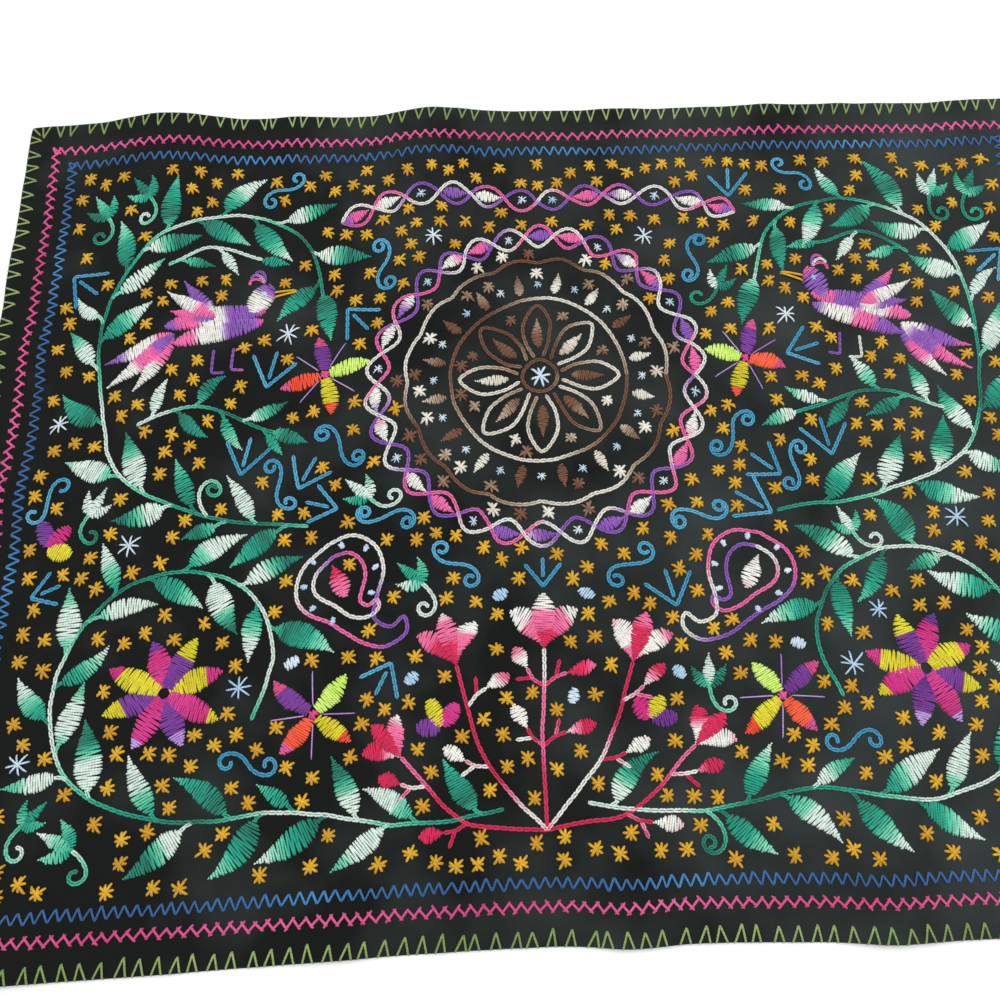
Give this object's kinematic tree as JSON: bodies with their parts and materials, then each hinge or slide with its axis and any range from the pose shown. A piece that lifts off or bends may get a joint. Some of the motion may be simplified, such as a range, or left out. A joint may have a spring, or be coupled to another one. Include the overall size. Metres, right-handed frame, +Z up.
{
  "type": "otomi embroidered cloth",
  "caption": "Rectangular embroidered cotton cloth laid flat, with a stitched hem, wavy edges and low ripples.",
  "frame": {"origin": "middle of the underside's box, on the surface that the cloth lies on", "axes": "+X along the cloth's long side, +Y along its short side away from the viewer, +Z up through the embroidered face"},
  "size_m": [0.7142, 0.5446, 0.0045],
  "materials": {
    "black_cotton": "near-black plain-weave cotton, matt, embroidered all over in coloured cotton thread"
  },
  "bodies": {
    "root": {"cloth": "black_cotton"}
  },
  "joints": []
}
